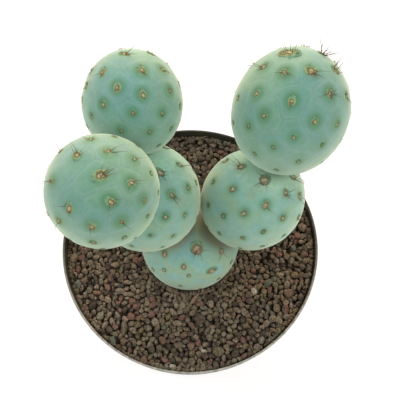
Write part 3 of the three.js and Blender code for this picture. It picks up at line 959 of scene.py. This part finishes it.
def root_bark():
    """Dry root bark: matt light brown with lengthwise fibres."""
    material, tree, shader = new_material("root_bark", {"Roughness": 0.9, "Specular IOR Level": 0.2})
    place = add_node(tree, "TexCoord")
    drawn = add_node(tree, "Mapping", {"Vector": place, "Scale": (1, 1, 0.15)})
    fibre = add_node(tree, "TexNoise", {"Vector": drawn, "Scale": 1 / (0.9 * MM), "Detail": 4.0})
    colour = add_node(tree, "ValToRGB", {"Fac": fibre}, stops=[(0.3, "#6e5638"), (0.7, "#a58a62")])
    bump = add_node(tree, "Bump", {"Height": fibre, "Strength": 0.5, "Distance": 0.3 * MM})
    set_inputs(tree, shader, {"Base Color": colour, "Normal": bump})
    return material


def root_form(extra):
    """A tapered root, thicker by extra mm all round, that starts at the base segment's foot."""
    base = SEGMENTS["stem_base"]
    foot = base["origin"][2] - base["half_length"] - SEAT
    length = ROOT_LENGTH + extra
    bm = bmesh.new()
    bmesh.ops.create_cone(
        bm, cap_ends=True, segments=24, radius1=(ROOT_END_RADIUS + extra) * MM,
        radius2=(ROOT_TOP_RADIUS + extra) * MM * ROOT_NECK, depth=length * MM,
        matrix=Matrix.Translation((STEM_FOOT[0] * MM, STEM_FOOT[1] * MM, (foot - length / 2) * MM)),
    )
    return bm


root_bm = root_form(0)
uprights = [e for e in root_bm.edges if abs(e.verts[0].co.z - e.verts[1].co.z) > 5 * MM]
bmesh.ops.subdivide_edges(root_bm, edges=uprights, cuts=ROOT_RINGS, use_grid_fill=False)
root_draw = random.Random(3)
for vert in root_bm.verts:
    turn = math.atan2(vert.co.y - STEM_FOOT[1] * MM, vert.co.x)
    ridge = RIDGE_HEIGHT * math.sin(ROOT_RIDGES * turn + RIDGE_TWIST * vert.co.z / MM)
    ridge += root_draw.uniform(-0.12, 0.0)
    vert.co.x += ridge * MM * math.cos(turn)
    vert.co.y += ridge * MM * math.sin(turn)
add_piece("main_root", mesh_from(root_bm, "root"), root_bark(), sharp_angle=60)

# The gravel's fill, with a cup for the base segment and a hole for its root
cup_bm = root_form(2 * GAP)
base = SEGMENTS["stem_base"]
cup_width, cup_depth = [(base[half] + CUP_ROOM) * MM for half in ("half_width", "half_length")]
bmesh.ops.create_icosphere(
    cup_bm, subdivisions=4, radius=1.0,
    matrix=Matrix.Translation(base["origin"] * MM)
    @ Matrix.Diagonal((cup_width, cup_width, cup_depth, 1)),
)
bed_mesh = cut_away(mesh_from(bed_bm, "bed"), cup_bm)
mark(bed_mesh, "tint", [BED_SHADE_TINT] * len(bed_mesh.vertices))
add_piece("gravel_bed", bed_mesh, stone, "gravel", sharp_angle=35)

# Areoles
# A cushion of felt on each swelling, with pale wool below its middle, a dark ring, and a crescent
# of fine barbed bristles towards the tip. Those near a tip are large and golden, those near a
# foot small and dark, and those of the older segments worn to a pale brown cork.

FELT_KINDS = 6
FELT_HEIGHT = 0.26
FELT_DIMPLE = (-0.08, 0.4)
THICKEST_FELT = 1.8
FOOT_BRISTLES = 6
CROWN_BRISTLES = 40
BRISTLE_RANKS = 12
BRISTLE_LIFT = 0.15
# The felt darkens from this rank on, over so many ranks; from this wear on it turns to cork
DARK_FROM = 7
DARK_OVER = 18
OLD_WEAR = 0.5
CORK_BY_WEAR = 1.2
CORK_LOST = 0.7


def areole_felt():
    """Short dense plant wool without gloss, in rings that the growth has pulled out of round.
    Its tint is 0 where it is young and golden, 1 where dark, and 2 where worn to cork."""
    material, tree, shader = new_material("areole_felt", {
        "Roughness": 1.0, "Specular IOR Level": 0.1, "Sheen Weight": 0.2, "Sheen Tint": linear("#d8d3a4"),
    })
    place = add_node(tree, "TexCoord")
    reach = add_node(tree, "Attribute", attribute_name="reach")
    ahead = add_node(tree, "Attribute", attribute_name="ahead")
    tint = add_node(tree, "Attribute", attribute_name="tint")
    wool = add_node(tree, "TexNoise", {"Vector": place, "Scale": 1 / (0.45 * MM), "Detail": 3.0})
    uneven = add_node(tree, "MapRange", [wool, 0.25, 0.75, -0.2, 0.2])
    pull = add_node(tree, "TexNoise", {"Vector": place, "Scale": 1 / (1.9 * MM), "Detail": 1.0})
    pulled = add_node(tree, "MapRange", [pull, 0.3, 0.7, -0.16, 0.16])
    lopsided = add_node(tree, "Math", [ahead, 0.45, reach], operation="MULTIPLY_ADD")
    shifted = add_node(tree, "Math", [lopsided, pulled], operation="ADD")
    edge = add_node(tree, "Math", [shifted, uneven], operation="ADD")
    young = add_node(tree, "ValToRGB", {"Fac": edge}, stops=[
        (0.0, "#b0b091"), (0.2, "#949672"), (0.34, "#5f583f"), (0.46, "#67694a"), (0.58, "#8c9c71"),
        (0.76, "#789c76"), (1.0, "#6c9c80"),
    ])
    dark = add_node(tree, "ValToRGB", {"Fac": edge}, stops=[
        (0.0, "#9aa187"), (0.28, "#7a8a68"), (0.46, "#4d5d43"), (0.66, "#577d5c"), (0.84, "#5a8c6c"),
        (1.0, "#5c9274"),
    ])
    worn = add_node(tree, "ValToRGB", {"Fac": edge}, stops=[
        (0.0, "#b6ac92"), (0.34, "#9a907a"), (0.54, "#6f604d"), (0.7, "#80856c"), (0.86, "#7a9b82"),
        (1.0, "#7ba48e"),
    ])
    darkening = add_node(tree, "Mix", {0: tint, 6: young, 7: dark}, data_type="RGBA")
    wearing = add_node(tree, "MapRange", [tint, 1.0, 2.0])
    colour = add_node(tree, "Mix", {0: wearing, 6: darkening, 7: worn}, data_type="RGBA")
    bump = add_node(tree, "Bump", {"Height": wool, "Strength": 0.8, "Distance": 0.2 * MM})
    set_inputs(tree, shader, {"Base Color": colour, "Normal": bump})
    return material


def horny(name, young_stops, old_stops, roughness):
    """Dry horn-like spine tissue: slightly glossy, of another colour at the root than at the tip,
    and darker or greyer with age, which is its tint."""
    material, tree, shader = new_material(name, {"Roughness": roughness, "IOR": 1.54})
    height = add_node(tree, "Attribute", attribute_name="height")
    tint = add_node(tree, "Attribute", attribute_name="tint")
    place = add_node(tree, "TexCoord")
    streaks = add_node(tree, "TexNoise", {"Vector": place, "Scale": 1 / (0.7 * MM), "Detail": 2.0})
    shift = add_node(tree, "MapRange", [streaks, 0, 1, -0.25, 0.25])
    along = add_node(tree, "Math", [height, shift], operation="ADD")
    young = add_node(tree, "ValToRGB", {"Fac": along}, stops=young_stops)
    old = add_node(tree, "ValToRGB", {"Fac": along}, stops=old_stops)
    colour = add_node(tree, "Mix", {0: tint, 6: young, 7: old}, data_type="RGBA")
    set_inputs(tree, shader, {"Base Color": colour})
    return material


def felt_shape(draw):
    """A cushion of unit half width with a hollow middle and a lumpy outline."""
    bm = bmesh.new()
    bmesh.ops.create_icosphere(bm, subdivisions=3, radius=1.0)
    for vert in bm.verts:
        dimple = fading(math.hypot(vert.co.x, vert.co.y), *FELT_DIMPLE) if vert.co.z > 0 else 0
        vert.co.z = FELT_HEIGHT * vert.co.z + dimple
        vert.co *= draw.uniform(0.88, 1.08)
    return mesh_from(bm, "felt")


def bristle_shape():
    """A slender straight bristle of unit length."""
    bm = bmesh.new()
    bmesh.ops.create_cone(
        bm, cap_ends=True, segments=3, radius1=0.055, radius2=0.0, depth=1.0,
        matrix=Matrix.Translation((0, 0, 0.5)),
    )
    return mesh_from(bm, "bristle")


def upright(normal, along):
    """A turn that takes Z to the normal, and Y as near as it can to the second direction."""
    z = Vector(normal).normalized()
    x = Vector(along).cross(z).normalized()
    y = z.cross(x)
    return Matrix((x, y, z)).transposed().to_4x4()


def within_one(value):
    """The value, held between 0 and 1."""
    return min(1.0, max(0.0, value))


def felt_tint(segment, age):
    """The felt's colour from 0 to 2: it darkens with age, and wears to cork on old segments."""
    if segment["wear"] < OLD_WEAR:
        return age
    return min(2.0, 1 + CORK_BY_WEAR * segment["wear"] ** 2 - CORK_LOST * age)


def open_areoles(segment):
    """Rank, place and stance of each areole that isn't bare; a stance has +Y towards the tip."""
    ways = segment["areoles"]
    points = skin_points(segment, ways, skin_relief(segment, ways)[0])
    normals = skin_normals(segment, ways)
    bare = is_bare(segment, points)
    bare[list(segment["bald"])] = True
    tip = direction(*segment["tip"])
    return [
        (rank, points[rank], upright(normals[rank], tip)) for rank in range(AREOLES) if not bare[rank]
    ]


felt_material = areole_felt()
bristle_material = horny(
    "glochid_bristles", [(0.0, "#5e5430"), (0.6, "#98905a"), (1.0, "#b6ae86")],
    [(0.0, "#3c2c1e"), (0.6, "#5c4a34"), (1.0, "#8a7a5c")], 0.6,
)
areole_draw = random.Random(21)
felt_shapes = [felt_shape(areole_draw) for _ in range(FELT_KINDS)]
bristle = bristle_shape()
for name, segment in SEGMENTS.items():
    felt_copies, bristle_copies = [], []
    for rank, point, stance in open_areoles(segment):
        radius, length = areole_size(segment, rank)
        radius *= areole_draw.uniform(0.88, 1.12)
        length *= areole_draw.uniform(0.92, 1.12)
        place = Matrix.Translation(Vector(point) * MM) @ stance
        form = Matrix.Diagonal((radius * MM, radius * length * MM, min(radius, THICKEST_FELT) * MM, 1))
        age = within_one((rank - DARK_FROM) / DARK_OVER + areole_draw.uniform(-0.2, 0.2))
        felt_copies.append((areole_draw.choice(felt_shapes), place @ form, felt_tint(segment, age)))
        for _ in range(FOOT_BRISTLES + round(CROWN_BRISTLES * math.exp(-rank / BRISTLE_RANKS))):
            turn = areole_draw.gauss(math.pi / 2, 1.1)
            spread = radius * math.sqrt(areole_draw.uniform(0.05, 0.75))
            lean = 0.15 + 0.5 * spread / radius + areole_draw.uniform(-0.2, 0.2)
            across, along = spread * math.cos(turn), spread * length * math.sin(turn)
            root = Matrix.Translation((across * MM, along * MM, BRISTLE_LIFT * MM))
            tilt = Matrix.Rotation(turn, 4, "Z") @ Matrix.Rotation(lean, 4, "Y")
            size = Matrix.Scale(areole_draw.uniform(0.6, 1.3) * (0.6 + 0.3 * radius) * MM, 4)
            darkness = within_one(2 * age + areole_draw.uniform(-0.1, 0.5))
            bristle_copies.append((bristle, place @ root @ tilt @ size, darkness))
    add_piece(name + "_areoles", gathered(felt_copies), felt_material)
    add_piece(name + "_bristles", gathered(bristle_copies), bristle_material, sharp_angle=30)

# Spines
# Thin dry spines of 2 to 9 mm in fans that lean away from the segment's tip: several at an areole
# near the tip, few or none below. They are dark brown, and bleached grey towards their ends.

SPINE_KINDS = 8
SPINE_SIDES = 5
SPINE_CUTS = 4
SPINE_TRIES = 14
SPINE_LENGTHS = (3, 8.5, 5.5)
SHORT_SPINE = 0.75
FULL_LENGTH_RANKS = 14
SPINY_RANKS = 20
# How much room a spine keeps, at these shares of its length, and how much of the felt's half
# width its foot can be off the middle
SPINE_MARGIN = 1.2
PATH_SHARES = np.array([[0.4], [0.7], [1.0]])
SPINE_RING = 0.7
# From this many spines on, an areole's fan opens to a tuft
TUFT_COUNT = 9
FAN_SPREAD = 0.7
FAN_LEAN = (40, 82)
TUFT_SPREAD = 3 * FAN_SPREAD
TUFT_LEAN = (10, 75)


def spine_shape(draw):
    """A spine of unit length along Z that tapers and bends to one side."""
    bm = bmesh.new()
    thickness = draw.uniform(0.015, 0.024)
    bmesh.ops.create_cone(
        bm, cap_ends=True, segments=SPINE_SIDES, radius1=thickness, radius2=thickness / 6,
        depth=1.0, matrix=Matrix.Translation((0, 0, 0.5)),
    )
    long_edges = [e for e in bm.edges if abs(e.verts[0].co.z - e.verts[1].co.z) > 0.5]
    bmesh.ops.subdivide_edges(bm, edges=long_edges, cuts=SPINE_CUTS, use_grid_fill=False)
    bend, sway = draw.uniform(-0.1, 0.28), draw.uniform(-0.06, 0.06)
    for vert in bm.verts:
        vert.co.x += bend * vert.co.z ** 2
        vert.co.y += sway * math.sin(6 * vert.co.z)
    return mesh_from(bm, "spine")


def spine_count(segment, rank, draw):
    """How many spines the areole of this rank bears."""
    if rank in segment["grown"]:
        return segment["grown"][rank][2]
    return draw.choice((0, 0, 1, 2)) if rank < SPINY_RANKS else 0


def is_clear(segment, path):
    """Whether the points of a spine keep off the gravel, the other segments and the part's box."""
    if path[:, 2].min() <= GRAVEL_LEVEL + GRAVEL_MARGIN or path[:, 0].max() >= cad_box[1].x / MM:
        return False
    others = [other for other in SEGMENTS.values() if other is not segment]
    return min(clearance(other, path).min() for other in others) > SPINE_MARGIN


def grown_spine(draw, segment, rank, point, stance, fan, count):
    """A copy of a spine that leans from its areole into free air, or None if none was found."""
    spread, leans = (FAN_SPREAD, FAN_LEAN) if count < TUFT_COUNT else (TUFT_SPREAD, TUFT_LEAN)
    for _ in range(SPINE_TRIES):
        turn = Matrix.Rotation(fan + draw.gauss(0, spread), 4, "Z")
        lean = Matrix.Rotation(math.radians(draw.uniform(*leans)), 4, "Y")
        length = draw.triangular(*SPINE_LENGTHS) * (1.0 if rank < FULL_LENGTH_RANKS else SHORT_SPINE)
        aim = stance @ turn @ lean
        out = np.array((stance @ turn).to_3x3() @ Vector((1, 0, 0)))
        root = point + SPINE_RING * areole_size(segment, rank)[0] * draw.random() * out
        way = np.array(aim.to_3x3() @ Vector((0, 0, 1)))
        path = root + PATH_SHARES * length * way
        if is_clear(segment, path):
            place = Matrix.Translation(Vector(root) * MM) @ aim @ Matrix.Scale(length * MM, 4)
            return draw.choice(spine_shapes), place, draw.random()
    return None


spine_material = horny(
    "spine_horn", [(0.0, "#4a3626"), (0.5, "#5a5044"), (1.0, "#989082")],
    [(0.0, "#2e241c"), (0.5, "#423d37"), (1.0, "#7a7872")], 0.45,
)
spine_draw = random.Random(34)
spine_shapes = [spine_shape(spine_draw) for _ in range(SPINE_KINDS)]
for name, segment in SEGMENTS.items():
    copies = []
    for rank, point, stance in open_areoles(segment):
        count = spine_count(segment, rank, spine_draw)
        fan = -math.pi / 2 + spine_draw.gauss(0, 0.3)
        for _ in range(count):
            spine = grown_spine(spine_draw, segment, rank, point, stance, fan, count)
            if spine:
                copies.append(spine)
    add_piece(name + "_spines", gathered(copies), spine_material, sharp_angle=50)

# Studio
# A plain white floor that glows a little, so that no shadow shows on it; dim white light all
# round, a warm lamp low behind the plant, and weaker ones high on its right and its left.

FLOOR_REACH = 6
LAMP_SIZE = 0.6
LAMP_DISTANCE = 1.2
LAMP_AIM = Vector((0, 0, 0.12))
LAMPS = [
    # name, bearing, rise, watts, colour
    ("back_light", 4, 19, 11.2, "#ffdac0"),
    ("right_light", 104, 50, 6.1, "#fff6f5"),
    ("left_light", 279, 47, 5.8, "#f9f9ff"),
]

bpy.context.scene.view_settings.view_transform = "Standard"

floor_bm = bmesh.new()
bmesh.ops.create_grid(floor_bm, x_segments=1, y_segments=1, size=FLOOR_REACH)
floor_material, *_ = new_material("pale_floor", {
    "Base Color": linear("#8e8e8b"), "Roughness": 0.8,
    "Emission Color": linear("#ffffff"), "Emission Strength": 0.8,
})
floor = bpy.data.objects.new("floor", mesh_from(floor_bm, "floor"))
floor.data.materials.append(floor_material)
bpy.context.scene.collection.objects.link(floor)

world = bpy.data.worlds.new("studio")
world.use_nodes = True
background = world.node_tree.nodes["Background"]
set_inputs(world.node_tree, background, {"Color": linear("#fff3eb"), "Strength": 0.68})
bpy.context.scene.world = world

for name, bearing, rise, watts, colour in LAMPS:
    softbox = bpy.data.lights.new(name, "AREA")
    softbox.shape = "DISK"
    softbox.size = LAMP_SIZE
    softbox.energy = watts
    softbox.color = linear(colour)[:3]
    lamp = bpy.data.objects.new(name, softbox)
    lamp.location = LAMP_AIM + LAMP_DISTANCE * Vector(direction(bearing, rise))
    lamp.rotation_euler = (LAMP_AIM - lamp.location).to_track_quat("-Z", "Y").to_euler()
    bpy.context.scene.collection.objects.link(lamp)

# Camera
# It looks steeply down on the plant from the front, through a long lens, about 48 cm from the
# middle of the pot's rim.

CAMERA_DISTANCE = 480
CAMERA_ELEVATION = math.radians(72.5)
CAMERA_PITCH = math.radians(90 - 69.89)
CAMERA_YAW = -math.radians(1.82)
CAMERA_LENS = 91.87
SENSOR_WIDTH = 36
NEAREST_SEEN = 10
camera_data = bpy.data.cameras.new("camera")
camera_data.sensor_fit = "HORIZONTAL"
camera_data.sensor_width = SENSOR_WIDTH
camera_data.lens = CAMERA_LENS
camera_data.clip_start = NEAREST_SEEN * MM
camera = bpy.data.objects.new("camera", camera_data)
camera.location = (
    0,
    -CAMERA_DISTANCE * MM * math.cos(CAMERA_ELEVATION),
    (POT_HEIGHT + CAMERA_DISTANCE * math.sin(CAMERA_ELEVATION)) * MM,
)
camera.rotation_euler = (CAMERA_PITCH, 0, CAMERA_YAW)
bpy.context.scene.collection.objects.link(camera)
bpy.context.scene.camera = camera
